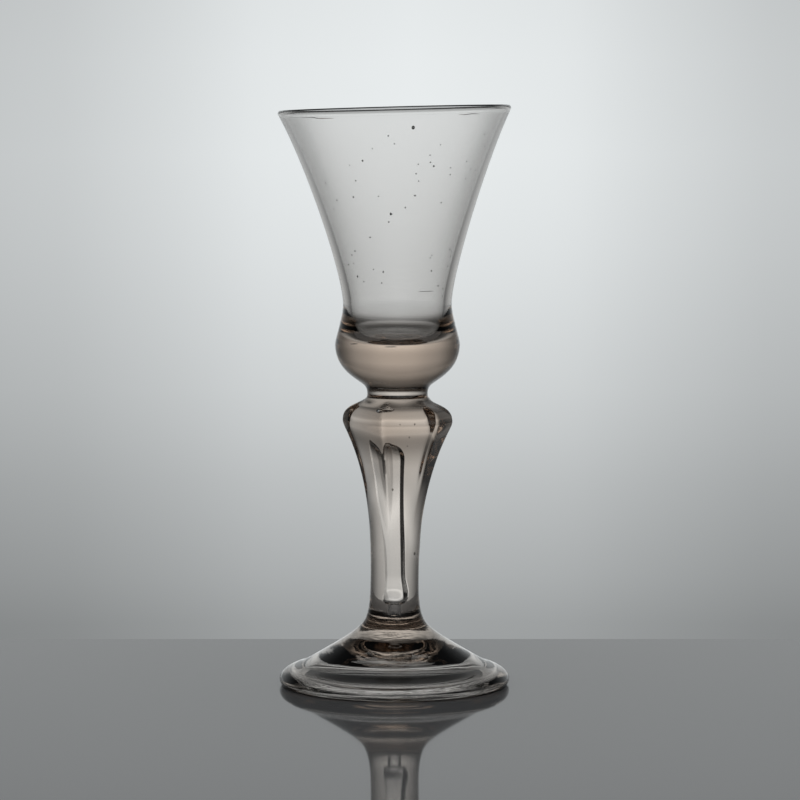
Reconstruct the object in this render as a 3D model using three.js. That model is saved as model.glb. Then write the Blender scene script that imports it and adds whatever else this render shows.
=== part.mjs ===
// A hand-made wine glass on a moulded pedestal stem, in millimetres, standing on the plane z = 0.
// It is five gathers of glass welded hot, one on another: the foot with its pontil scar, the stem
// with its air tear, the neck collar and the bowl. Every piece is turned about one centre line,
// which wanders a little because the glass was made by hand.

import * as THREE from "three";

// Heights are stacked lengths: each piece starts where the one below it ends.
const FOOT_HEIGHT = 19;
const STEM_LENGTH = 61.4;
const COLLAR_LENGTH = 2.9;
const BOWL_LENGTH = 76.7;

// Bowl: a waisted bell over a thick solid base that swells into a bulge.
const RIM_RADIUS = 32.2;
const RIM_WALL = 1.3;
const RIM_FLARE_DEG = 27.2;
const RIM_SWEEP = 15.6;
const WAIST_RADIUS = 15.05;
const WAIST_WALL = 2.2;
const WAIST_UP = 22.9;
const WAIST_SWEEP_UP = 8;
const WAIST_SWEEP_DOWN = 3.3;
const BULGE_RADIUS = 17.3;
const BULGE_UP = 11.9;
const BULGE_SWEEP_UP = 1.5;
const BULGE_SWEEP_DOWN = 7.87;
const BASE_SLOPE_DEG = 55;
const BASE_SWEEP = 2.3;
const BASE_THICKNESS = 11;
const WELL_SIDE_SWEEP = 12.8;
const WELL_SIDE_DRAW_IN = 0.2;
const WELL_FLOOR_SWEEP = 11.2;
const WELL_FLOOR_RISE = 0.6;

// Neck collar: a short drawn-in drum that spreads again where it meets the stem.
const COLLAR_TOP_RADIUS = 8.9;
const COLLAR_BOTTOM_RADIUS = 8.55;
const COLLAR_DRAW_IN = 0.3;
const COLLAR_SWEEP_UP = 0.8;
const COLLAR_TOP_DRAW_IN = 0.5;
const COLLAR_SWEEP_DOWN = 0.6;

// Stem: a shouldered pedestal with upright moulded panels that die away downwards.
const SHOULDER_RADIUS = 15.2;
const SHOULDER_DROP = 6.5;
const SHOULDER_SLOPE_DEG = 46;
const SHOULDER_TOP_SWEEP = 3.2;
const SHOULDER_SWEEP_UP = 4.35;
const SHOULDER_SWEEP_DOWN = 3;
const STEM_RADIUS = 6.73;
const STEM_WAIST_UP = 11.7;
const STEM_SWEEP_UP = 31.5;
const STEM_SWEEP_DOWN = 6;

// Panels: the six sides that the mould pressed, a little unequal. Each faces a way, in degrees from
// the front towards the right, and lies at a share of the stem's half width from its centre.
const PANEL_FACINGS_DEG = [7, 64.6, 114.2, 167.2, 235.9, 302];
const PANEL_REACHES = [0.99, 1.045, 0.8, 0.84, 0.907, 0.795];
const PANEL_SHARPNESS = 52;
const PANEL_START_UP = 14;
const PANEL_FULL_UP = 40;
const PANEL_HOLLOW = 0.1;
const PANEL_HOLLOW_START_DROP = 11.3;
const PANEL_HOLLOW_FULL_DROP = 3.3;
const PANEL_FADE = 2.5;

// Tear: the long air bubble in the stem, open at the weld through the narrow tail it was drawn by.
const TEAR_HEAD_RADIUS = 2.9;
const TEAR_HEAD_LENGTH = 5.3;
const TEAR_MIDDLE_RADIUS = 2.1;
const TEAR_END_RADIUS = 2.5;
const TEAR_END_LENGTH = 2.4;
const TEAR_TAIL_RADIUS = 1.3;
const TEAR_TAIL_LENGTH = 3.4;
const TEAR_LENGTH = 49.6;
const TEAR_DRIFT = -1.2;
const TEAR_SLANT = 0.4;

// Foot: a spun cone with its rim turned under. The turned glass lies on the table, and a seam stays
// open between it and the cone.
const WELD_RADIUS = 7.95;
const WELD_FLARE_DEG = 20;
const WELD_SWEEP = 3.2;
const FOOT_RADIUS = 32.05;
const FOOT_EDGE_HEIGHT = 1.62;
const FOOT_EDGE_SWEEP_UP = 2.68;
const FOOT_EDGE_SWEEP_DOWN = 0.31;
const FOOT_EDGE_ROUNDING = 1.46;
const CONE_RADIUS = 19.6;
const CONE_HEIGHT = 9.6;
const CONE_SLOPE_DEG = 30.7;
const CONE_SWEEP = 8.5;
const CONE_SWEEP_OUT = 2.4;
const CREST_RADIUS = 26.3;
const CREST_HEIGHT = 5.88;
const CREST_SLOPE_DEG = 19;
const CREST_SWEEP = 1.2;
const UNDER_HEIGHT = 6.23;
const UNDER_SLOPE_DEG = 19.7;
const UNDER_SWEEP = 4.25;
const HOLLOW_HEIGHT = 10.52;
const HOLLOW_FLAT_RADIUS = 5.61;
const SEAM_IN = 4.62;
const SEAM_HEIGHT = 1.84;
const SEAM_SLOPE_DEG = 31.8;
const SEAM_SWEEP = 1.98;
const FOLD_WIDTH = 6.85;
const FOLD_LIP_HEIGHT = 0.3;
const FOLD_LIP_ROUNDING = 0.3;
const FOLD_LIP_RUN = 1.2;
const FOLD_LIP_RISE = 0.5;

// Pontil scar: the glass left by the iron, snapped off rough under the foot.
const SCAR_RADIUS = 5.1;
const SCAR_THICKNESS = 1.3;
const SCAR_EDGE_ROUNDING = 0.5;
const SCAR_WAVINESS = 0.12;
const CHIP_RADIUS = 0.9;
const CHIP_DEPTH = 0.5;

// The lean of hand-made glass: the stem's top stands to one side, and the bowl tips back.
const STEM_SHIFT = 0.85;
const BOWL_TILT_DEG = 1.5;

const SEGMENTS = 48;
const LIP_STEP_DEG = 36;

// Levels where pieces meet, and the levels that their outlines pass through.
const WELD_LEVEL = FOOT_HEIGHT;
const STEM_TOP = WELD_LEVEL + STEM_LENGTH;
const BOWL_BASE = STEM_TOP + COLLAR_LENGTH;
const RIM_LEVEL = BOWL_BASE + BOWL_LENGTH;
const BULGE_LEVEL = BOWL_BASE + BULGE_UP;

function radians(degrees) {
  return THREE.MathUtils.degToRad(degrees);
}

function point(radius, height) {
  return new THREE.Vector2(radius, height);
}

// A place a sweep's length from start, at an angle above the outward horizontal.
function swept(start, length, degrees) {
  const angle = radians(degrees);
  return point(start.x + length * Math.cos(angle), start.y + length * Math.sin(angle));
}

// Points along a cubic curve, without its first point, so that curves can be joined end to end.
function curve(start, startHandle, endHandle, end, steps) {
  const bezier = new THREE.CubicBezierCurve(start, startHandle, endHandle, end);
  return bezier.getPoints(steps).slice(1);
}

// Where the centre line passes at a height, and how steeply a ring tips there.
function centreX(height) {
  const climb = THREE.MathUtils.smoothstep(height, WELD_LEVEL, STEM_TOP);
  const span = RIM_LEVEL - BULGE_LEVEL;
  const up = Math.max(height - BULGE_LEVEL, 0);
  return STEM_SHIFT * climb - (Math.tan(radians(BOWL_TILT_DEG)) * up * up) / (2 * span);
}

function ringTilt(height) {
  const up = Math.max(height - BULGE_LEVEL, 0);
  return (Math.tan(radians(BOWL_TILT_DEG)) * up) / (RIM_LEVEL - BULGE_LEVEL);
}

// The place of a turned point on the leaning glass.
function place(radius, angle, height) {
  const across = radius * Math.cos(angle);
  return [centreX(height) + across, radius * Math.sin(angle), height + across * ringTilt(height)];
}

// A closed body turned from an outline that starts at the centre line, runs outwards and up, and
// ends at the centre line again.
function turned(outline, placePoint) {
  const positions = [];
  const faces = [];
  const last = outline.length - 1;
  positions.push(...placePoint(outline[0], 0));
  for (let ring = 1; ring < last; ring += 1) {
    for (let step = 0; step < SEGMENTS; step += 1) {
      const angle = (2 * Math.PI * step) / SEGMENTS;
      positions.push(...placePoint(outline[ring], angle));
    }
  }
  positions.push(...placePoint(outline[last], 0));
  const end = positions.length / 3 - 1;
  const at = (ring, step) => 1 + (ring - 1) * SEGMENTS + (step % SEGMENTS);
  for (let step = 0; step < SEGMENTS; step += 1) {
    faces.push(0, at(1, step + 1), at(1, step));
    for (let ring = 1; ring < last - 1; ring += 1) {
      faces.push(at(ring, step), at(ring + 1, step + 1), at(ring + 1, step));
      faces.push(at(ring, step), at(ring, step + 1), at(ring + 1, step + 1));
    }
    faces.push(end, at(last - 1, step), at(last - 1, step + 1));
  }
  const geometry = new THREE.BufferGeometry();
  geometry.setAttribute("position", new THREE.Float32BufferAttribute(positions, 3));
  geometry.setIndex(faces);
  geometry.computeVertexNormals();
  return geometry;
}

function round(outlinePoint, angle) {
  return place(outlinePoint.x, angle, outlinePoint.y);
}

// Bowl: the outline runs down the well's axis up to the rim, over it and down the outside.
function bowlGeometry() {
  const rimCentre = point(RIM_RADIUS - RIM_WALL / 2, RIM_LEVEL - RIM_WALL / 2);
  const rimOut = point(RIM_RADIUS, rimCentre.y);
  const waist = point(WAIST_RADIUS, BOWL_BASE + WAIST_UP);
  const bulge = point(BULGE_RADIUS, BULGE_LEVEL);
  const base = point(COLLAR_TOP_RADIUS, BOWL_BASE);
  const bell = [
    rimOut,
    ...curve(
      rimOut,
      swept(rimOut, RIM_SWEEP, -90 - RIM_FLARE_DEG),
      point(waist.x, waist.y + WAIST_SWEEP_UP),
      waist,
      14,
    ),
  ];
  const wallAt = (height) => {
    const depth = (rimOut.y - height) / (rimOut.y - waist.y);
    return RIM_WALL + (WAIST_WALL - RIM_WALL) * depth;
  };
  const inside = bell.map((p) => point(p.x - wallAt(p.y), p.y)).reverse();
  const floor = point(0, BOWL_BASE + BASE_THICKNESS);
  const well = curve(
    floor,
    point(WELL_FLOOR_SWEEP, floor.y + WELL_FLOOR_RISE),
    point(inside[0].x - WELL_SIDE_DRAW_IN, inside[0].y - WELL_SIDE_SWEEP),
    inside[0],
    9,
  );
  const lip = [];
  for (let degrees = 180 - LIP_STEP_DEG; degrees > 0; degrees -= LIP_STEP_DEG) {
    lip.push(swept(rimCentre, RIM_WALL / 2, degrees));
  }
  const outline = [
    floor,
    ...well,
    ...inside.slice(1),
    ...lip,
    ...bell,
    ...curve(
      waist,
      point(waist.x, waist.y - WAIST_SWEEP_DOWN),
      point(bulge.x, bulge.y + BULGE_SWEEP_UP),
      bulge,
      6,
    ),
    ...curve(
      bulge,
      point(bulge.x, bulge.y - BULGE_SWEEP_DOWN),
      swept(base, BASE_SWEEP, BASE_SLOPE_DEG),
      base,
      9,
    ),
    point(0, BOWL_BASE),
  ];
  return turned(outline.reverse(), round);
}

// Neck collar: flat weld faces above and below a drawn-in side.
function collarGeometry() {
  const top = point(COLLAR_TOP_RADIUS, BOWL_BASE);
  const bottom = point(COLLAR_BOTTOM_RADIUS, STEM_TOP);
  const outline = [
    point(0, STEM_TOP),
    bottom,
    ...curve(
      bottom,
      point(bottom.x - COLLAR_DRAW_IN, bottom.y + COLLAR_SWEEP_UP),
      point(top.x - COLLAR_TOP_DRAW_IN, top.y - COLLAR_SWEEP_DOWN),
      top,
      6,
    ),
    point(0, BOWL_BASE),
  ];
  return turned(outline, round);
}

// How far the moulded panels have formed at a height: 0 is round, 1 is flat sides, and above 1 the
// sides are hollowed under the shoulder.
function panelStrength(height) {
  const { smoothstep } = THREE.MathUtils;
  const rise = smoothstep(height, WELD_LEVEL + PANEL_START_UP, WELD_LEVEL + PANEL_FULL_UP);
  const hollow = smoothstep(height, STEM_TOP - PANEL_HOLLOW_START_DROP, STEM_TOP - PANEL_HOLLOW_FULL_DROP);
  const fade = 1 - smoothstep(height, STEM_TOP - PANEL_FADE, STEM_TOP);
  return rise * (1 + PANEL_HOLLOW * hollow) * fade;
}

// The share of the stem's half width that the panelled section reaches at an angle.
function panelShare(angle) {
  const sum = PANEL_REACHES.reduce((total, reach, panel) => {
    const facing = Math.cos(angle + Math.PI / 2 - radians(PANEL_FACINGS_DEG[panel])) / reach;
    return total + Math.max(facing, 0) ** PANEL_SHARPNESS;
  }, 0);
  return sum ** (-1 / PANEL_SHARPNESS);
}

// Stem: the outline runs from the top face down the outside, across the weld face and up the tear.
function stemGeometry() {
  const top = point(COLLAR_BOTTOM_RADIUS, STEM_TOP);
  const shoulder = point(SHOULDER_RADIUS, STEM_TOP - SHOULDER_DROP);
  const waist = point(STEM_RADIUS, WELD_LEVEL + STEM_WAIST_UP);
  const weld = point(WELD_RADIUS, WELD_LEVEL);
  const outside = [
    top,
    ...curve(
      top,
      swept(top, SHOULDER_TOP_SWEEP, -SHOULDER_SLOPE_DEG),
      point(shoulder.x, shoulder.y + SHOULDER_SWEEP_UP),
      shoulder,
      8,
    ),
    ...curve(
      shoulder,
      point(shoulder.x, shoulder.y - SHOULDER_SWEEP_DOWN),
      point(waist.x, waist.y + STEM_SWEEP_UP),
      waist,
      18,
    ),
    ...curve(
      waist,
      point(waist.x, waist.y - STEM_SWEEP_DOWN),
      swept(weld, WELD_SWEEP, 90 + WELD_FLARE_DEG),
      weld,
      6,
    ),
  ];
  const tailTop = point(TEAR_TAIL_RADIUS, WELD_LEVEL + TEAR_TAIL_LENGTH);
  const tearTop = WELD_LEVEL + TEAR_LENGTH;
  const end = point(TEAR_END_RADIUS, tailTop.y + TEAR_END_LENGTH);
  const middle = point(TEAR_MIDDLE_RADIUS, (end.y + tearTop) / 2);
  const head = point(TEAR_HEAD_RADIUS, tearTop - TEAR_HEAD_LENGTH);
  const third = (head.y - end.y) / 6;
  const tear = [
    point(TEAR_TAIL_RADIUS, WELD_LEVEL),
    tailTop,
    ...curve(tailTop, tailTop, point(end.x, tailTop.y), end, 3),
    ...curve(end, point(end.x, end.y + third), point(middle.x, middle.y - third), middle, 3),
    ...curve(middle, point(middle.x, middle.y + third), point(head.x, head.y - third), head, 3),
    ...curve(head, point(head.x, tearTop), point(head.x / 2, tearTop), point(0, tearTop), 5),
  ];
  const outline = [point(0, STEM_TOP), ...outside, ...tear];
  const tearPoints = new Set(tear);
  return turned(outline.reverse(), (outlinePoint, angle) => {
    if (tearPoints.has(outlinePoint)) {
      const rise = Math.max(outlinePoint.y - middle.y, 0) / (tearTop - middle.y);
      const slant = TEAR_SLANT * THREE.MathUtils.clamp((outlinePoint.y - head.y) / TEAR_HEAD_LENGTH, 0, 1);
      const [x, y, z] = round(outlinePoint, angle);
      return [x + TEAR_DRIFT * rise, y, z - slant * outlinePoint.x * Math.cos(angle)];
    }
    const strength = panelStrength(outlinePoint.y);
    const share = 1 + (panelShare(angle) - 1) * strength;
    return place(outlinePoint.x * share, angle, outlinePoint.y);
  });
}

// Foot: the outline runs down the hollow underside, out along the seam, back over the turned glass to
// its lip, out again on the table, round the edge and up the cone.
function footGeometry() {
  const weld = point(WELD_RADIUS, WELD_LEVEL);
  const cone = point(CONE_RADIUS, CONE_HEIGHT);
  const crest = point(CREST_RADIUS, CREST_HEIGHT);
  const edge = point(FOOT_RADIUS, FOOT_EDGE_HEIGHT);
  const flatOut = point(FOOT_RADIUS - FOOT_EDGE_ROUNDING, 0);
  const lip = point(FOOT_RADIUS - FOLD_WIDTH, FOLD_LIP_HEIGHT);
  const flatIn = point(lip.x + FOLD_LIP_ROUNDING, 0);
  const seam = point(FOOT_RADIUS - SEAM_IN, SEAM_HEIGHT);
  const under = point(CONE_RADIUS, UNDER_HEIGHT);
  const hollow = point(HOLLOW_FLAT_RADIUS, HOLLOW_HEIGHT);
  const outline = [
    point(0, HOLLOW_HEIGHT),
    hollow,
    ...curve(
      hollow,
      point(hollow.x + UNDER_SWEEP, hollow.y),
      swept(under, UNDER_SWEEP, 180 - UNDER_SLOPE_DEG),
      under,
      6,
    ),
    ...curve(
      under,
      swept(under, CONE_SWEEP_OUT, -UNDER_SLOPE_DEG),
      swept(seam, CREST_SWEEP, 180 - UNDER_SLOPE_DEG),
      seam,
      4,
    ),
    ...curve(
      seam,
      swept(seam, SEAM_SWEEP, -SEAM_SLOPE_DEG),
      point(lip.x + FOLD_LIP_RUN, lip.y + FOLD_LIP_RISE),
      lip,
      6,
    ),
    flatIn,
    flatOut,
    ...curve(
      flatOut,
      point(edge.x - FOOT_EDGE_SWEEP_DOWN, 0),
      point(edge.x, edge.y - FOOT_EDGE_SWEEP_DOWN),
      edge,
      4,
    ),
    ...curve(
      edge,
      point(edge.x, edge.y + FOOT_EDGE_SWEEP_UP),
      swept(crest, CREST_SWEEP, -CREST_SLOPE_DEG),
      crest,
      8,
    ),
    ...curve(
      crest,
      swept(crest, CREST_SWEEP, 180 - CREST_SLOPE_DEG),
      swept(cone, CONE_SWEEP_OUT, -CONE_SLOPE_DEG),
      cone,
      4,
    ),
    ...curve(
      cone,
      swept(cone, CONE_SWEEP, 180 - CONE_SLOPE_DEG),
      swept(weld, WELD_SWEEP, WELD_FLARE_DEG - 90),
      weld,
      9,
    ),
    point(0, WELD_LEVEL),
  ];
  return turned(outline, round);
}

// Pontil scar: a flat face against the hollow's top, and below it a wavy broken face with a chip.
function scarGeometry() {
  const bottom = HOLLOW_HEIGHT - SCAR_THICKNESS;
  const broken = [
    point(0, bottom + CHIP_DEPTH),
    point(CHIP_RADIUS / 2, bottom + CHIP_DEPTH),
    point(CHIP_RADIUS, bottom),
    point(SCAR_RADIUS / 2, bottom),
    point(SCAR_RADIUS - SCAR_EDGE_ROUNDING, bottom),
    point(SCAR_RADIUS, bottom + SCAR_EDGE_ROUNDING),
  ];
  const outline = [...broken, point(SCAR_RADIUS, HOLLOW_HEIGHT), point(0, HOLLOW_HEIGHT)];
  const brokenPoints = new Set(broken.slice(1));
  return turned(outline, (outlinePoint, angle) => {
    const [x, y, z] = round(outlinePoint, angle);
    if (!brokenPoints.has(outlinePoint)) {
      return [x, y, z];
    }
    return [x, y, z + SCAR_WAVINESS * Math.sin(3 * angle + outlinePoint.x)];
  });
}

// The metal of the glass: clear with a faint warm grey cast, fire-polished outside.
const clearGlass = { color: 0xd6d2cb, roughness: 0.03, metalness: 0, transparent: true, opacity: 0.4 };
const brokenGlass = { ...clearGlass, roughness: 0.35 };

function piece(name, geometry, finish) {
  const mesh = new THREE.Mesh(geometry, new THREE.MeshStandardMaterial(finish));
  mesh.name = name;
  return mesh;
}

const glass = new THREE.Group();
glass.name = "pedestal_stem_wine_glass";
glass.add(piece("bowl", bowlGeometry(), clearGlass));
glass.add(piece("neck_collar", collarGeometry(), clearGlass));
glass.add(piece("stem", stemGeometry(), clearGlass));
glass.add(piece("foot", footGeometry(), clearGlass));
glass.add(piece("pontil_scar", scarGeometry(), brokenGlass));

export default glass;
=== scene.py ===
import math

import bpy
import numpy as np
from bpy.props import FloatProperty, FloatVectorProperty, PointerProperty
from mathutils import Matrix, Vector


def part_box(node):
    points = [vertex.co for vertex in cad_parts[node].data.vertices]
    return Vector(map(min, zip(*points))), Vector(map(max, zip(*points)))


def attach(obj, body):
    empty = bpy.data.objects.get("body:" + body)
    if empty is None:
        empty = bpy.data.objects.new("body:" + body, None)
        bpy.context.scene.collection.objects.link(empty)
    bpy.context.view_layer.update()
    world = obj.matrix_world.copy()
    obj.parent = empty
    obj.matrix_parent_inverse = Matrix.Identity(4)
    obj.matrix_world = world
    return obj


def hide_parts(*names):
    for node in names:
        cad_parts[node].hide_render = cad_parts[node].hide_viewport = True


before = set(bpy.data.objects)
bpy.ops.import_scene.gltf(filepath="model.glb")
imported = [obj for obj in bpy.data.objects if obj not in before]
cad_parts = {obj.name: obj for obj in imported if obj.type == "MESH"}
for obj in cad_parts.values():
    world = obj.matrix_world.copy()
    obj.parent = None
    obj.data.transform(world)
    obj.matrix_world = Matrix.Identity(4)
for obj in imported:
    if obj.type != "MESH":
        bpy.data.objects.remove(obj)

bl_info = {
    "name": "Pedestal stem wine glass",
    "version": (1, 0, 0),
    "blender": (4, 5, 0),
    "location": "View3D > Sidebar > Wine glass",
    "description": "Builds a hand-made wine glass on a moulded pedestal stem, piece by piece",
    "category": "Add Mesh",
}

MM = 0.001

# The frame's own boxes, each with its low and its high corner.
FOOT_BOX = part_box("foot")
STEM_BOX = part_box("stem")
BOWL_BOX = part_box("bowl")

# Levels of the welds: stem on foot, collar on stem, and bowl on collar.
WELD_LEVEL = FOOT_BOX[1][2]
STEM_TOP = STEM_BOX[1][2]
BOWL_BASE = BOWL_BOX[0][2]

# Radii of the weld faces, in the same order.
FOOT_WELD = 7.95 * MM
STEM_WELD = 8.55 * MM
BOWL_WELD = 8.9 * MM

# Levels of the rim and of the widest place of the bowl's solid base.
RIM_LEVEL = BOWL_BASE + 76.7 * MM
BULGE_LEVEL = BOWL_BASE + 11.9 * MM

# The lean of hand-made glass, as the frame has it: the stem's top stands a little to the right, and
# the bowl tips to the left.
STEM_SHIFT = 0.85 * MM
BOWL_TILT = math.radians(1.5)

# Each weld face stops this much short of its weld's level, so that no two faces lie in one plane.
HAIRLINE = 0.01 * MM

# The foot stands this much over the table, as glass on a hard surface does.
FOOT_LIFT = 0.02 * MM

# The flat top of the hollow under the foot, where the pontil was.
HOLLOW_HEIGHT = 10.52 * MM

# Faces round every turned piece, and the angle over which an edge between two faces stays sharp.
SEGMENTS = 160
SHARP_EDGE = math.radians(35)

# The thickness of glass that its tint is given for.
TINT_DEPTH = 35 * MM

# The picture's side, the lens's focal length and the place of the glass's axis, in pixels.
FRAME_PIXELS = 800
FOCAL_PIXELS = 3798
AXIS_PIXEL = 394.4

# The camera's distance before the glass and height, in metres, and how far it looks down, in degrees.
CAMERA_DISTANCE = 1.0494
CAMERA_HEIGHT = 0.17315
CAMERA_DOWN = 5.1


def length(name, description, millimetres):
    """A size that a user can change, in metres."""
    return FloatProperty(name=name, description=description, default=millimetres * MM,
                         min=0, unit="LENGTH", precision=5)


def tint(name, description, hex_colour):
    """A colour that a user can change, from an sRGB hex value."""
    return FloatVectorProperty(name=name, description=description, subtype="COLOR", size=3,
                               min=0, max=1, default=linear(hex_colour))


def linear(hex_colour):
    """Linear light from an sRGB hex colour such as "d6d2cb"."""
    parts = [int(hex_colour[i:i + 2], 16) / 255 for i in (0, 2, 4)]
    return tuple(p / 12.92 if p <= 0.04045 else ((p + 0.055) / 1.055) ** 2.4 for p in parts)


class BowlSizes(bpy.types.PropertyGroup):
    rim_radius: length("Rim radius", "Half the width across the rim", 32.2)
    rim_wall: length("Rim wall", "Thickness of the wall at the rim", 1.3)
    rim_crest: length("Rim crest", "Height of the round crest that fire-polishing left on the rim", 1.0)
    waist_radius: length("Waist radius", "Half the width where the bell is narrowest", 15.05)
    waist_wall: length("Waist wall", "Thickness of the wall at the waist", 2.2)
    bulge_radius: length("Bulge radius", "Half the width of the solid base", 17.3)
    base_thickness: length("Base thickness", "Glass under the well's floor", 11.0)


class StemSizes(bpy.types.PropertyGroup):
    shoulder_radius: length("Shoulder radius", "Half the width of the moulded shoulder", 15.2)
    narrow_radius: length("Narrow radius", "Half the width of the stem's narrowest place", 6.73)
    tear_radius: length("Tear radius", "Half the width of the air tear's middle", 2.0)
    tear_length: length("Tear length", "From the weld to the tear's top", 50.8)


class FootSizes(bpy.types.PropertyGroup):
    foot_radius: length("Foot radius", "Half the width across the foot", 32.05)
    fold_width: length("Fold width", "How far the rim is turned under", 6.85)
    foot_glass: length("Foot glass", "Thickness of the cone", 3.37)


class GlassLook(bpy.types.PropertyGroup):
    thick_tint: tint("Thick tint", "What 35 mm of the glass leaves of white light", "dcc6b4")
    floor_tint: tint("Floor", "Colour of the table", "5a5b5c")
    backdrop_tint: tint("Backdrop", "Colour of the backdrop where it is brightest", "ebeff0")


class GlassSettings(bpy.types.PropertyGroup):
    bowl: PointerProperty(type=BowlSizes)
    stem: PointerProperty(type=StemSizes)
    foot: PointerProperty(type=FootSizes)
    look: PointerProperty(type=GlassLook)


def point(radius, height):
    """A place on an outline."""
    return np.array((radius, height))


def swept(start, distance, degrees):
    """A place at a distance from start, at an angle above the outward horizontal."""
    angle = math.radians(degrees)
    return start + distance * np.array((math.cos(angle), math.sin(angle)))


def curve(start, start_handle, end_handle, end, steps):
    """Points along a cubic curve, without its first point."""
    t = np.linspace(0, 1, steps + 1)[1:, None]
    s = 1 - t
    return s ** 3 * start + 3 * s * s * t * start_handle + 3 * s * t * t * end_handle + t ** 3 * end


def smoothstep(value, low, high):
    """A soft rise from 0 at low to 1 at high."""
    t = np.clip((value - low) / (high - low), 0, 1)
    return t * t * (3 - 2 * t)


def centre_x(height):
    """Where the glass's centre line passes at a height."""
    up = np.maximum(height - BULGE_LEVEL, 0)
    back = math.tan(BOWL_TILT) * up * up / (2 * (RIM_LEVEL - BULGE_LEVEL))
    return STEM_SHIFT * smoothstep(height, WELD_LEVEL, STEM_TOP) - back


def ring_tilt(height):
    """How steeply a ring tips at a height."""
    up = np.maximum(height - BULGE_LEVEL, 0)
    return math.tan(BOWL_TILT) * up / (RIM_LEVEL - BULGE_LEVEL)


def place(radius, angle, height):
    """Turned points set on the leaning glass."""
    across = radius * np.cos(angle)
    x = centre_x(height) + across
    return np.stack([x, radius * np.sin(angle), height + across * ring_tilt(height)], -1)


def shell_faces(rings, around):
    """Faces of a closed shell of rings of points, with its lowest and highest point after them."""
    low, high = rings * around, rings * around + 1
    step = range(around)
    ahead = [(i + 1) % around for i in step]
    faces = [(low, b, a) for a, b in zip(step, ahead)]
    for ring in range(rings - 1):
        first, second = ring * around, (ring + 1) * around
        faces += [(first + a, first + b, second + b, second + a) for a, b in zip(step, ahead)]
    top = (rings - 1) * around
    faces += [(high, top + a, top + b) for a, b in zip(step, ahead)]
    return faces


def add_bubbles(vertices, faces, bubbles):
    """Adds a small shell for each bubble, facing its own air, from its centre and half sizes."""
    around = 12
    turn = np.linspace(0, 2 * math.pi, around, endpoint=False)[None, :]
    rise = np.radians([-67.5, -45, -22.5, 0, 22.5, 45, 67.5])[:, None]
    rings = np.stack([np.cos(rise) * np.cos(turn), np.cos(rise) * np.sin(turn), np.sin(rise) + 0 * turn], -1)
    ball = np.vstack([rings.reshape(-1, 3), [[0, 0, -1], [0, 0, 1]]])
    shell = [tuple(reversed(face)) for face in shell_faces(len(rise), around)]
    for centre, half_sizes in bubbles:
        start = len(vertices)
        vertices = np.vstack([vertices, ball * half_sizes + centre])
        faces = faces + [tuple(start + i for i in face) for face in shell]
    return vertices, faces


def bubbles_in(seeds, outline, depth):
    """Centres and half sizes of seeds at a depth under the front of an upright outline.

    Each seed has its place across, its height, and its length and thickness, in millimetres.
    """
    order = np.argsort(outline[:, 1])
    made = []
    for across, height, long, thick in seeds:
        radius = np.interp(height * MM, outline[order, 1], outline[order, 0]) - depth
        forward = math.sqrt(radius ** 2 - (across * MM) ** 2)
        half_sizes = np.array((long / 2, thick / 2, thick / 2)) * MM
        made.append((np.array((across * MM, -forward, height * MM)), half_sizes))
    return made


def turned(name, outline, weld_rings, shape=place, bubbles=()):
    """A closed mesh turned from an outline that runs from the centre line outwards and up to it again.

    weld_rings are the rings whose inner faces are weld faces: 0 for the first fan, -1 for the last.
    """
    outline = np.array(outline)
    angle = np.linspace(0, 2 * math.pi, SEGMENTS, endpoint=False)[None, :]
    rings = outline[1:-1]
    body = shape(rings[:, :1], angle, rings[:, 1:]).reshape(-1, 3)
    ends = shape(outline[[0, -1], :1], 0 * angle[:, :1], outline[[0, -1], 1:]).reshape(-1, 3)
    vertices = np.concatenate([body, ends])
    faces = shell_faces(len(rings), SEGMENTS)
    weld = np.zeros(len(faces), np.float32)
    for ring in weld_rings:
        start = ring * SEGMENTS if ring >= 0 else len(faces) + ring * SEGMENTS
        weld[start:start + SEGMENTS] = 1
    vertices, faces = add_bubbles(vertices, faces, bubbles)
    weld = np.append(weld, np.zeros(len(faces) - len(weld), np.float32))
    mesh = bpy.data.meshes.new(name)
    mesh.from_pydata(vertices.tolist(), [], faces)
    mesh.attributes.new("weld", "FLOAT", "FACE").data.foreach_set("value", weld)
    mesh.shade_smooth()
    mesh.set_sharp_from_angle(angle=SHARP_EDGE)
    piece = bpy.data.objects.new(name, mesh)
    bpy.context.scene.collection.objects.link(piece)
    return piece


def finish_piece(piece, material, solid):
    """Gives a piece its material, and puts it in the frame in place of its CAD solid."""
    piece.data.materials.append(material)
    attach(piece, "root")
    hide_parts(solid)


def node(tree, kind, settings=None, links=None):
    """Adds a shader node, with its settings, and values or links for its inputs."""
    made = tree.nodes.new(kind)
    for key, value in (settings or {}).items():
        setattr(made, key, value)
    for key, value in (links or {}).items():
        if isinstance(value, bpy.types.NodeSocket):
            tree.links.new(value, made.inputs[key])
        else:
            made.inputs[key].default_value = value
    return made


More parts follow.
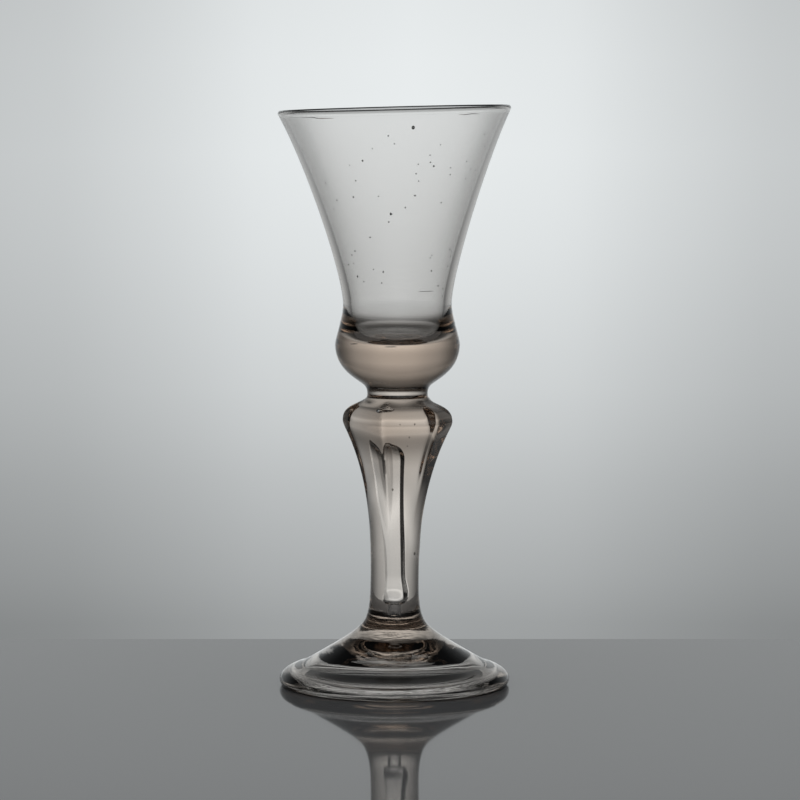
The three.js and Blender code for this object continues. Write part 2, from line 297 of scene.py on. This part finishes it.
def old_glass(settings):
    """Old pot-melted glass, fire-polished: clear, glossy, with a warm cast that deepens with thickness.

    Weld faces are told apart by the mesh's weld value. They bend no light, so that the welded
    gathers look like one body.
    """
    material = bpy.data.materials.get("Old fire-polished glass")
    if material:
        return material
    material = bpy.data.materials.new("Old fire-polished glass")
    material.use_nodes = True
    tree = material.node_tree
    tree.nodes.clear()
    weld = node(tree, "ShaderNodeAttribute", {"attribute_name": "weld"})
    surface = node(tree, "ShaderNodeBsdfPrincipled", None, {
        "Base Color": (1, 1, 1, 1), "Roughness": 0.0, "Transmission Weight": 1.0, "IOR": 1.5,
        "Normal": tool_marks(tree)})
    straight = node(tree, "ShaderNodeBsdfTransparent")
    outside = node(tree, "ShaderNodeMixShader", None, {
        0: weld.outputs["Fac"], 1: surface.outputs[0], 2: straight.outputs[0]})
    left = np.array(settings.look.thick_tint)
    loss = -np.log(left) / TINT_DEPTH
    # The density is a little more than the greatest loss, so that no part of the colour gets to 0.
    density = float(loss.max()) * 1.05
    body = node(tree, "ShaderNodeVolumeAbsorption", None, {
        "Color": (*(1 - loss / density), 1), "Density": density})
    output = node(tree, "ShaderNodeOutputMaterial")
    tree.links.new(outside.outputs[0], output.inputs["Surface"])
    tree.links.new(body.outputs[0], output.inputs["Volume"])
    return material


# What the maker's tools left on the glass: spacing, detail, height, and the share of that height at
# levels from the table up. Spacing, height and levels are in millimetres.
TOOL_RINGS = (0.7, 2.0, 0.03, (
    (0, 1.0), (17, 1.0), (24, 0.2), (70, 0.1), (84, 0.25), (96, 0.3), (108, 0.25), (122, 0.06), (160, 0.03)))
FOOT_SWIRLS = (3.0, 1.0, 0.22, ((0, 1.0), (16, 1.0), (20, 0.15), (24, 0.0), (160, 0.0)))


def tool_marks(tree):
    """Fine rings that the maker's tools left while the soft glass turned, about 0.7 mm apart.

    They are strongest on the foot, faint round the bowl's base, and almost gone from its fire-polished
    bell. The foot has broad swirls too, about 3 mm apart, where it was worked cooler.
    """
    # The highest level, in millimetres, and how much closer rings lie by height than across.
    top = 160
    height_weight = 1.6
    where = node(tree, "ShaderNodeTexCoord")
    axes = node(tree, "ShaderNodeSeparateXYZ", None, {0: where.outputs["Object"]})
    flat = node(tree, "ShaderNodeCombineXYZ", None, {0: axes.outputs["X"], 1: axes.outputs["Y"]})
    radius = node(tree, "ShaderNodeVectorMath", {"operation": "LENGTH"}, {0: flat.outputs[0]})
    along = node(tree, "ShaderNodeMath", {"operation": "MULTIPLY_ADD"}, {
        0: axes.outputs["Z"], 1: height_weight, 2: radius.outputs["Value"]})
    around = node(tree, "ShaderNodeVectorMath", {"operation": "NORMALIZE"}, {0: flat.outputs[0]})
    level = node(tree, "ShaderNodeMapRange", None, {"Value": axes.outputs["Z"], "From Max": top * MM})
    relief = 0
    for spacing, detail, tallest, stops in (TOOL_RINGS, FOOT_SWIRLS):
        rings = node(tree, "ShaderNodeMath", {"operation": "MULTIPLY"}, {
            0: along.outputs[0], 1: 1 / (spacing * MM)})
        noise = node(tree, "ShaderNodeTexNoise", {"noise_dimensions": "4D"}, {
            "Vector": around.outputs[0], "W": rings.outputs[0], "Scale": 1.3, "Detail": detail,
            "Roughness": 0.6})
        share = ramp(tree, level.outputs[0], stops, 0, top)
        height = node(tree, "ShaderNodeMath", {"operation": "MULTIPLY"}, {0: noise.outputs[0], 1: share})
        sized = node(tree, "ShaderNodeMath", {"operation": "MULTIPLY_ADD"}, {
            0: height.outputs[0], 1: tallest, 2: relief})
        relief = sized.outputs[0]
    bump = node(tree, "ShaderNodeBump", None, {"Strength": 1.0, "Distance": MM, "Height": relief})
    return bump.outputs[0]


# Seeds of the melt and drawn-out bubbles: place across, height, length and thickness, in millimetres.
# The last two of the stem's are the flaw in its shoulder.
BOWL_SEEDS = (
    (5, 155.5, 0.9, 1.1), (-8.5, 146.5, 0.5, 0.6), (-11, 136.5, 0.5, 0.5), (-15.5, 135.5, 0.4, 0.5),
    (-1, 132, 0.5, 0.8), (5.5, 137, 0.6, 0.45), (10.5, 145, 0.5, 0.6), (9.5, 148, 0.4, 0.4),
    (12.5, 135, 0.4, 0.4), (15, 144.5, 0.5, 0.3), (-6.5, 125.5, 0.5, 0.4), (-3, 116, 0.4, 0.6),
    (-10, 114.5, 0.4, 0.7), (10, 120.5, 0.3, 0.3), (-20.5, 158, 9, 0.22), (20, 159, 6, 0.2),
    (8.5, 110.5, 4.5, 0.2), (15, 121.5, 0.3, 0.3), (-1, 95.5, 3.4, 0.3), (-11, 96, 2.4, 0.3),
    (-4, 85.5, 2.6, 0.25))
STEM_SEEDS = (
    (5.5, 74, 0.5, 0.5), (4, 70.5, 0.5, 0.5), (1.5, 74, 0.35, 0.35), (3.5, 68, 0.4, 0.4),
    (-0.5, 55.5, 0.55, 0.6), (5, 37, 0.6, 0.8), (-2.5, 77.5, 5, 1.9), (-2, 79, 1.9, 1.1))


# How far the middles of the seeds lie under the front of the outline. The glass's lean is left out, so a
# few of them come to a face, and so do the ends of the longest.
BOWL_SEED_DEPTH = 0.75 * MM
STEM_SEED_DEPTH = 1.2 * MM

# Finer seeds of the bell: how many, the levels and the turn to either side that they lie between, their
# least and greatest size, and how far inside the outline they stay, in millimetres and radians. The
# real ones are finer still: these are drawn this coarse so that they show.
FINE_SEEDS = 40
FINE_LEVELS = (108, 156)
FINE_TURN = 1.2
FINE_SIZES = (0.3, 0.46)
FINE_INSET = 1


def fine_seeds(outline, count):
    """Seeds too fine to place one by one, strewn over the front of the bell from a fixed draw."""
    draw = np.random.default_rng(12)
    order = np.argsort(outline[:, 1])
    made = []
    for _ in range(count):
        height = draw.uniform(*FINE_LEVELS)
        turn = draw.uniform(-FINE_TURN, FINE_TURN)
        size = draw.uniform(*FINE_SIZES)
        radius = np.interp(height * MM, outline[order, 1], outline[order, 0]) / MM
        made.append(((radius - FINE_INSET) * math.sin(turn), height, size, size))
    return tuple(made)


class WINEGLASS_OT_add_bowl(bpy.types.Operator):
    """Add the blown bell bowl with its thick solid base"""
    bl_idname = "wineglass.add_bowl"
    bl_label = "Add bowl"

    def execute(self, context):
        settings = context.scene.wine_glass
        size = settings.bowl
        # In degrees: how far the bell flares at the rim, and how steeply the base leaves the collar.
        flare, base_slope = 27.2, 55
        rim_centre = point(size.rim_radius - size.rim_wall / 2, RIM_LEVEL - size.rim_wall / 2)
        rim_out = point(size.rim_radius, rim_centre[1])
        waist = point(size.waist_radius, BOWL_BASE + 22.9 * MM)
        bulge = point(size.bulge_radius, BULGE_LEVEL)
        base = point(BOWL_WELD, BOWL_BASE + HAIRLINE)
        bell = np.vstack([rim_out[None], curve(
            rim_out, swept(rim_out, 15.6 * MM, -90 - flare), waist + point(0, 8 * MM), waist, 60)])
        depth = (rim_out[1] - bell[:, 1]) / (rim_out[1] - waist[1])
        wall = size.rim_wall + (size.waist_wall - size.rim_wall) * depth
        inside = np.stack([bell[:, 0] - wall, bell[:, 1]], -1)[::-1]
        floor = point(0, BOWL_BASE + size.base_thickness)
        well = curve(floor, floor + point(11.2 * MM, 0.6 * MM),
                     inside[0] - point(0.2 * MM, 12.8 * MM), inside[0], 40)
        turn = np.linspace(math.pi, 0, 15)[1:-1, None]
        lip = rim_centre + np.hstack([size.rim_wall / 2 * np.cos(turn), size.rim_crest * np.sin(turn)])
        outside = np.vstack([
            bell,
            curve(waist, waist - point(0, 3.3 * MM), bulge + point(0, 1.5 * MM), bulge, 24),
            curve(bulge, bulge - point(0, 7.87 * MM), swept(base, 2.3 * MM, base_slope), base, 40)])
        outline = np.vstack([floor[None], well, inside[1:], lip, outside, point(0, base[1])[None]])
        seeds = BOWL_SEEDS + fine_seeds(outside, FINE_SEEDS)
        bubbles = bubbles_in(seeds, outside, BOWL_SEED_DEPTH)
        piece = turned("bowl_glass", outline[::-1], [0], place, bubbles)
        finish_piece(piece, old_glass(settings), "bowl")
        return {"FINISHED"}


class WINEGLASS_OT_add_neck_collar(bpy.types.Operator):
    """Add the short drawn-in collar between the bowl and the stem"""
    bl_idname = "wineglass.add_neck_collar"
    bl_label = "Add neck collar"

    def execute(self, context):
        settings = context.scene.wine_glass
        top = point(BOWL_WELD, BOWL_BASE - HAIRLINE)
        bottom = point(STEM_WELD, STEM_TOP + HAIRLINE)
        side = curve(bottom, bottom + point(-0.3 * MM, 0.8 * MM), top - point(0.5 * MM, 0.6 * MM), top, 30)
        outline = np.vstack([point(0, bottom[1])[None], bottom[None], side, point(0, top[1])[None]])
        piece = turned("neck_collar_glass", outline, [0, -1])
        finish_piece(piece, old_glass(settings), "neck_collar")
        return {"FINISHED"}


# The six sides that the mould pressed, a little unequal: the way each one faces, in degrees from the
# front towards the right, and the share of the stem's half width that it lies from its centre.
PANELS = ((7, 0.99), (64.6, 1.045), (114.2, 0.8), (167.2, 0.84), (235.9, 0.907), (302, 0.795))
PANEL_SHARPNESS = 52


# The tear is flattened, as the panels' pressing left it: the way each soft side faces, and its distance
# as a share of the tear's half width. No corner reaches further than the widest share.
TEAR_SIDES = ((-10, 0.52), (48, 0.98), (140, 0.82), (167, 0.57), (204, 0.6), (255, 0.55), (338, 0.6))
TEAR_SHARPNESS = 49
TEAR_WIDEST = 1.12

# How far the tear stands to the left of the stem's middle and behind it, how much further it has
# drifted after its rise, and how steeply its top slants.
TEAR_LEFT, TEAR_BEHIND = 0.3 * MM, 1.25 * MM
DRIFT_LEFT, DRIFT_BEHIND = 1.45 * MM, 0.7 * MM
TEAR_RISE = 37 * MM
TEAR_SLANT = 0.4

# Heights over the foot: where the tear's round tail ends, where its drift begins, and from where on it is
# flattened whole.
TAIL_END = 3 * MM
DRIFT_BEGIN = 6 * MM
TEAR_FLAT = 8 * MM

# The panels begin and are whole at these heights over the foot, and are this much deeper at the shoulder.
PANELS_BEGIN = 19 * MM
PANELS_WHOLE = 43 * MM
SHOULDER_DEEPER = 0.1


def sided_share(angle, sides, sharpness):
    """The share of a round section that a soft-cornered section with some sides reaches at an angle."""
    total = 0
    for facing, distance in sides:
        reach = np.cos(angle + math.pi / 2 - math.radians(facing)) / distance
        total = total + np.maximum(reach, 0) ** sharpness
    return total ** (-1 / sharpness)


def tear_place(radius, angle, height, top, head):
    """The tear: round at its tail, then flattened, drifting to the left, and slanting at its top."""
    share = np.minimum(sided_share(angle, TEAR_SIDES, TEAR_SHARPNESS), TEAR_WIDEST)
    flat = smoothstep(height, WELD_LEVEL + TAIL_END, WELD_LEVEL + TEAR_FLAT)
    spot = place(radius * (1 + (share - 1) * flat), angle, height)
    rise = np.clip((height - WELD_LEVEL - DRIFT_BEGIN) / TEAR_RISE, 0, 1.2)
    spot[..., 0] -= TEAR_LEFT * flat + DRIFT_LEFT * rise ** 1.6
    spot[..., 1] += TEAR_BEHIND * flat + DRIFT_BEHIND * rise ** 2
    # The slant begins this much under the tear's widest place.
    lead = 2 * MM
    slant = TEAR_SLANT * np.clip((height - head + lead) / (top - head + lead), 0, 1)
    spot[..., 2] -= slant * radius * np.cos(angle)
    return spot


def stem_place(radius, angle, height):
    """The stem's outside, with its panels, which fade into the round just under the collar."""
    rise = smoothstep(height, WELD_LEVEL + PANELS_BEGIN, WELD_LEVEL + PANELS_WHOLE)
    end = STEM_TOP - 0.1 * MM
    shoulder_low, shoulder_high, fade_low = end - 11.3 * MM, end - 3.3 * MM, end - 2.4 * MM
    deeper = 1 + SHOULDER_DEEPER * smoothstep(height, shoulder_low, shoulder_high)
    strength = rise * deeper * (1 - smoothstep(height, fade_low, end))
    share = 1 + (sided_share(angle, PANELS, PANEL_SHARPNESS) - 1) * strength
    return place(radius * share, angle, height)


class WINEGLASS_OT_add_stem(bpy.types.Operator):
    """Add the moulded pedestal stem with its air tear"""
    bl_idname = "wineglass.add_stem"
    bl_label = "Add stem"

    def execute(self, context):
        settings = context.scene.wine_glass
        size = settings.stem
        # In degrees above the outward level: the outline's way out of the collar, and up from the foot.
        from_collar, from_foot = -46, 110
        top = point(STEM_WELD, STEM_TOP - HAIRLINE)
        shoulder = point(size.shoulder_radius, STEM_TOP - 6.5 * MM)
        waist = point(size.narrow_radius, WELD_LEVEL + 11.7 * MM)
        weld = point(FOOT_WELD, WELD_LEVEL + HAIRLINE)
        outside = np.vstack([
            top[None],
            curve(top, swept(top, 3.2 * MM, from_collar), shoulder + point(0, 4.35 * MM), shoulder, 40),
            curve(shoulder, shoulder - point(0, 3 * MM), waist + point(0, 31.5 * MM), waist, 90),
            curve(waist, waist - point(0, 6 * MM), swept(weld, 3.2 * MM, from_foot), weld, 30)])
        tail = point(1.3 * MM, WELD_LEVEL + 3.4 * MM)
        tear_top = WELD_LEVEL + size.tear_length
        end = point(2.5 * MM, tail[1] + 2.4 * MM)
        middle = point(size.tear_radius, WELD_LEVEL + 12 * MM)
        head = point(3.2 * MM, tear_top - 5.4 * MM)
        tear = np.vstack([
            point(tail[0], weld[1])[None], tail[None],
            curve(tail, tail + point(0.6 * MM, 0), end - point(0, 1.3 * MM), end, 12),
            curve(end, end + point(0, 2 * MM), middle - point(0, 2 * MM), middle, 16),
            curve(middle, middle + point(0, 12 * MM), head - point(0.5 * MM, 6 * MM), head, 24),
            curve(head, point(head[0] + 0.2 * MM, tear_top), point(head[0] / 2, tear_top),
                  point(0, tear_top), 20)])
        outline = np.vstack([point(0, top[1])[None], outside, tear])[::-1]
        tear_rings = len(tear) - 1

        def shape(radius, angle, height):
            """The first end and the first rings lie on the tear, and the rest on the outside."""
            whole = stem_place(radius, angle, height)
            hole = tear_place(radius, angle, height, tear_top, head[1])
            both_ends = len(radius) == 2
            first = 1 if both_ends else tear_rings
            whole[:first] = hole[:first]
            return whole

        bubbles = bubbles_in(STEM_SEEDS, outside, STEM_SEED_DEPTH)
        piece = turned("stem_glass", outline, [tear_rings, -1], shape, bubbles)
        finish_piece(piece, old_glass(settings), "stem")
        return {"FINISHED"}


class WINEGLASS_OT_add_foot(bpy.types.Operator):
    """Add the conical foot with its rim turned under"""
    bl_idname = "wineglass.add_foot"
    bl_label = "Add foot"

    def execute(self, context):
        settings = context.scene.wine_glass
        size = settings.foot
        # In degrees: how steeply the cone, its crest near the edge and its underside fall outwards, how
        # steeply the seam is met and left, and how far the cone leans out from the upright at the stem.
        cone_slope, crest_slope, under_slope = 30.7, 19, 19.7
        seam_slope, fold_slope, weld_lean = 12, 31.8, 20
        weld = point(FOOT_WELD, WELD_LEVEL - HAIRLINE)
        cone = point(19.6 * MM, 9.6 * MM)
        crest = point(26.3 * MM, 5.88 * MM)
        edge = point(size.foot_radius, 1.62 * MM)
        flat_out = point(size.foot_radius - 1.46 * MM, FOOT_LIFT)
        lip = point(size.foot_radius - size.fold_width, 0.3 * MM)
        flat_in = point(lip[0] + 0.3 * MM, FOOT_LIFT)
        seam = point(size.foot_radius - 4.62 * MM, 1.84 * MM)
        under = cone - point(0, size.foot_glass)
        hollow = point(5.61 * MM, HOLLOW_HEIGHT)
        outline = np.vstack([
            point(0, hollow[1])[None], hollow[None],
            curve(hollow, hollow + point(4.25 * MM, 0),
                  swept(under, 4.25 * MM, 180 - under_slope), under, 30),
            curve(under, swept(under, 2.4 * MM, -under_slope),
                  swept(seam, 1 * MM, 180 - seam_slope), seam, 16),
            curve(seam, swept(seam, 1.98 * MM, -fold_slope), lip + point(1.2 * MM, 0.5 * MM), lip, 20),
            curve(lip, lip - point(0.3 * MM, 0.12 * MM), flat_in - point(0.6 * MM, 0), flat_in, 8),
            flat_out[None],
            curve(flat_out, flat_out + point(1.17 * MM, 0), edge - point(0, 0.31 * MM), edge, 14),
            curve(edge, edge + point(0, 2.68 * MM), swept(crest, 1.18 * MM, -crest_slope), crest, 32),
            curve(crest, swept(crest, 1.2 * MM, 180 - crest_slope),
                  swept(cone, 2.4 * MM, -cone_slope), cone, 16),
            curve(cone, swept(cone, 8.5 * MM, 180 - cone_slope),
                  swept(weld, 3.2 * MM, weld_lean - 90), weld, 44),
            point(0, weld[1])[None]])
        piece = turned("foot_glass", outline, [-1])
        finish_piece(piece, old_glass(settings), "foot")
        return {"FINISHED"}


def snapped_glass(settings):
    """Glass snapped off the pontil iron: a bright conchoidal break, fine hackle at its edge, no polish."""
    material = bpy.data.materials.new("Snapped glass of the pontil scar")
    material.use_nodes = True
    tree = material.node_tree
    shader = tree.nodes["Principled BSDF"]
    shader.inputs["Transmission Weight"].default_value = 1.0
    shader.inputs["Roughness"].default_value = 0.12
    shader.inputs["IOR"].default_value = 1.5
    shader.inputs["Base Color"].default_value = (*linear("f4ede6"), 1)
    where = node(tree, "ShaderNodeTexCoord")
    ripples = node(tree, "ShaderNodeTexNoise", None, {
        "Vector": where.outputs["Object"], "Scale": 1 / (1.2 * MM), "Detail": 3.0, "Roughness": 0.6})
    bump = node(tree, "ShaderNodeBump", None, {
        "Strength": 0.6, "Distance": 0.2 * MM, "Height": ripples.outputs[0]})
    tree.links.new(bump.outputs[0], shader.inputs["Normal"])
    return material


class WINEGLASS_OT_add_pontil_scar(bpy.types.Operator):
    """Add the broken face that the pontil iron left under the foot"""
    bl_idname = "wineglass.add_pontil_scar"
    bl_label = "Add pontil scar"

    def execute(self, context):
        settings = context.scene.wine_glass
        radius = 5.1 * MM
        bottom = HOLLOW_HEIGHT - 1.3 * MM
        face = HOLLOW_HEIGHT - HAIRLINE
        # A flake broken out of the middle leaves a small hollow in the scar's face.
        chip = 0.9 * MM
        chip_top = point(0, bottom + 0.5 * MM)
        chip_edge = point(chip * 1.1, bottom)
        edge = point(radius - 0.5 * MM, bottom + 0.1 * MM)
        outline = np.vstack([
            chip_top[None],
            curve(chip_top, chip_top + point(chip / 2, 0), point(chip, bottom + 0.2 * MM), chip_edge, 6),
            curve(chip_edge, point(0.4 * radius, bottom), point(0.6 * radius, bottom - 0.1 * MM), edge, 12),
            curve(edge, point(radius, bottom + 0.2 * MM),
                  point(radius, bottom + 0.5 * MM), point(radius, face), 8),
            point(0, face)[None]])

        def shape(across, angle, height):
            """Rings pushed in and out, so that the edge is ragged and the face wavy."""
            ragged = 0.05 * np.sin(5 * angle + 1) + 0.03 * np.sin(11 * angle) + 0.02 * np.sin(23 * angle + 2)
            wave = 0.12 * MM * np.sin(3 * angle + across / MM) * (height < face) * (across > 0)
            # A tenth is taken off, so that the ragged edge stays inside the round outline.
            return place(across * (1 + ragged - 0.1), angle, np.minimum(height + wave, face))

        piece = turned("pontil_scar_glass", outline, [-1], shape)
        finish_piece(piece, snapped_glass(settings), "pontil_scar")
        return {"FINISHED"}


class WINEGLASS_OT_add_stage(bpy.types.Operator):
    """Add the table, the light and the camera"""
    bl_idname = "wineglass.add_stage"
    bl_label = "Add stage"

    def execute(self, context):
        settings = context.scene.wine_glass
        add_table(settings)
        add_backdrop(settings)
        add_camera(context.scene)
        context.scene.view_settings.view_transform = "Standard"
        cycles = context.scene.cycles
        cycles.max_bounces = 16
        cycles.transmission_bounces = 16
        cycles.glossy_bounces = 5
        return {"FINISHED"}


def add_table(settings):
    """A plain polished table, grey lacquer rubbed smooth, so that it mirrors the foot a little.

    Its far edge stands close behind the glass.
    """
    # Where the back and front edges lie, and half the width, in metres.
    back, front, side = 82 * MM, -1.6, 1.2
    corners = [(-side, front, 0), (side, front, 0), (side, back, 0), (-side, back, 0)]
    mesh = bpy.data.meshes.new("table")
    mesh.from_pydata(corners, [], [(0, 1, 2, 3)])
    table = bpy.data.objects.new("table", mesh)
    bpy.context.scene.collection.objects.link(table)
    material = bpy.data.materials.new("Polished grey table")
    material.use_nodes = True
    shader = material.node_tree.nodes["Principled BSDF"]
    shader.inputs["Roughness"].default_value = 0.045
    shader.inputs["Specular IOR Level"].default_value = 0.2
    shader.inputs["Base Color"].default_value = (*settings.look.floor_tint, 1)
    mesh.materials.append(material)


# The backdrop's brightness, by degrees away from its middle and by degrees over the level: first for
# the light that the glass bends or that is mirrored, then for what the camera sees past the glass.
THROUGH_SIDE = (
    (0, 1.0), (5, 0.99), (10, 0.95), (15, 0.86), (20, 0.76), (30, 0.6), (35, 0.49), (41, 0.36), (50, 0.22),
    (58, 0.13), (65, 0.08), (75, 0.05), (80, 0.04), (90, 0.04))
THROUGH_RISE = (
    (-90, 0.03), (-45, 0.05), (-36, 0.1), (-30, 0.3), (-24, 0.52), (-18, 0.58), (-12, 0.59), (-8.7, 0.62),
    (-5.1, 0.69), (-4, 0.78), (-3, 0.88), (-2.2, 0.95), (-1.5, 0.97), (-0.5, 0.93), (1, 0.84), (3, 0.73),
    (5, 0.68), (11, 0.68), (16, 0.5), (24, 0.22), (40, 0.08), (90, 0.04))
SEEN_SIDE = ((0, 1.0), (2.3, 0.95), (3.7, 0.83), (5.2, 0.72), (7, 0.66), (90, 0.66))
SEEN_RISE = (
    (-90, 0.9), (-16, 0.9), (-10.5, 0.4), (-8.7, 0.4), (-7.5, 0.53), (-6.6, 0.6), (-5.1, 0.76), (-3, 0.91),
    (-1.5, 0.98), (0, 0.97), (1, 0.94), (4, 0.85), (30, 0.8), (90, 0.8))

# The backdrop's middle lies this far to the right.
BACKDROP_TURN = math.radians(0.3)


def add_backdrop(settings):
    """The light all round: a pale backdrop for camera and glass, and plain light for matt surfaces."""
    world = bpy.data.worlds.new("Studio")
    bpy.context.scene.world = world
    world.use_nodes = True
    tree = world.node_tree
    tree.nodes.clear()
    where = node(tree, "ShaderNodeTexCoord")
    axes = node(tree, "ShaderNodeSeparateXYZ", None, {0: where.outputs["Generated"]})
    along = node(tree, "ShaderNodeMath", {"operation": "ABSOLUTE"}, {0: axes.outputs["Y"]})
    turn = node(tree, "ShaderNodeMath", {"operation": "ARCTAN2"}, {0: axes.outputs["X"], 1: along.outputs[0]})
    middle = node(tree, "ShaderNodeMath", {"operation": "SUBTRACT"}, {0: turn.outputs[0], 1: BACKDROP_TURN})
    away = node(tree, "ShaderNodeMath", {"operation": "ABSOLUTE"}, {0: middle.outputs[0]})
    turn_share = node(tree, "ShaderNodeMath", {"operation": "DIVIDE"}, {0: away.outputs[0], 1: math.pi / 2})
    rise = node(tree, "ShaderNodeMath", {"operation": "ARCSINE"}, {0: axes.outputs["Z"]})
    rise_share = node(tree, "ShaderNodeMath", {"operation": "MULTIPLY_ADD"}, {
        0: rise.outputs[0], 1: 1 / math.pi, 2: 0.5})
    through_side = ramp(tree, turn_share.outputs[0], THROUGH_SIDE, 0, 90)
    through_rise = ramp(tree, rise_share.outputs[0], THROUGH_RISE, -90, 90)
    seen_side = ramp(tree, turn_share.outputs[0], SEEN_SIDE, 0, 90)
    seen_rise = ramp(tree, rise_share.outputs[0], SEEN_RISE, -90, 90)
    ray = node(tree, "ShaderNodeLightPath")
    through = node(tree, "ShaderNodeMath", {"operation": "MULTIPLY"}, {0: through_side, 1: through_rise})
    direct = node(tree, "ShaderNodeMath", {"operation": "MULTIPLY"}, {0: seen_side, 1: seen_rise})
    level = node(tree, "ShaderNodeMix", {"data_type": "FLOAT"}, {
        0: ray.outputs["Is Camera Ray"], 2: through.outputs[0], 3: direct.outputs[0]})
    seen = node(tree, "ShaderNodeBackground", None, {
        "Color": (*settings.look.backdrop_tint, 1), "Strength": level.outputs[0]})
    plain = node(tree, "ShaderNodeBackground", None, {"Color": (1, 1, 1, 1), "Strength": 0.75})
    diffuse = ray.outputs["Is Diffuse Ray"]
    mix = node(tree, "ShaderNodeMixShader", None, {0: diffuse, 1: seen.outputs[0], 2: plain.outputs[0]})
    output = node(tree, "ShaderNodeOutputWorld")
    tree.links.new(mix.outputs[0], output.inputs["Surface"])


def ramp(tree, value, stops, low, high):
    """A strength that runs through stops of (place, strength), between the places low and high."""
    made = node(tree, "ShaderNodeValToRGB", None, {0: value})
    elements = made.color_ramp.elements
    while len(elements) < len(stops):
        elements.new(0.5)
    for element, (place_along, _) in zip(elements, stops):
        element.position = (place_along - low) / (high - low)
    for element, (_, strength) in zip(elements, stops):
        element.color = (strength, strength, strength, 1)
    return made.outputs["Color"]


def add_camera(scene):
    """The photograph's view: 1.05 m away, a little above the rim, looking down five degrees."""
    data = bpy.data.cameras.new("camera")
    data.sensor_width = 36
    data.lens = data.sensor_width * FOCAL_PIXELS / FRAME_PIXELS
    data.clip_start = 0.01
    camera = bpy.data.objects.new("camera", data)
    camera.location = (0, -CAMERA_DISTANCE, CAMERA_HEIGHT)
    camera.rotation_euler = (math.radians(90 - CAMERA_DOWN), 0, 0)
    data.shift_x = (FRAME_PIXELS / 2 - AXIS_PIXEL) / FRAME_PIXELS
    scene.collection.objects.link(camera)
    scene.camera = camera


class WINEGLASS_PT_panel(bpy.types.Panel):
    """Buttons for the glass's pieces"""
    bl_label = "Wine glass"
    bl_idname = "WINEGLASS_PT_panel"
    bl_space_type = "VIEW_3D"
    bl_region_type = "UI"
    bl_category = "Wine glass"

    def draw(self, context):
        for operator in OPERATORS:
            self.layout.operator(operator.bl_idname)


OPERATORS = (
    WINEGLASS_OT_add_bowl,
    WINEGLASS_OT_add_neck_collar,
    WINEGLASS_OT_add_stem,
    WINEGLASS_OT_add_foot,
    WINEGLASS_OT_add_pontil_scar,
    WINEGLASS_OT_add_stage,
)
CLASSES = (BowlSizes, StemSizes, FootSizes, GlassLook, GlassSettings, *OPERATORS, WINEGLASS_PT_panel)


def register():
    for cls in CLASSES:
        bpy.utils.register_class(cls)
    bpy.types.Scene.wine_glass = PointerProperty(type=GlassSettings)


def unregister():
    del bpy.types.Scene.wine_glass
    for cls in reversed(CLASSES):
        bpy.utils.unregister_class(cls)


def main():
    """Registers the add-on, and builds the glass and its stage."""
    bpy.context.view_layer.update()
    register()
    bpy.ops.wineglass.add_bowl()
    bpy.ops.wineglass.add_neck_collar()
    bpy.ops.wineglass.add_stem()
    bpy.ops.wineglass.add_foot()
    bpy.ops.wineglass.add_pontil_scar()
    bpy.ops.wineglass.add_stage()


if __name__ == "__main__":
    main()
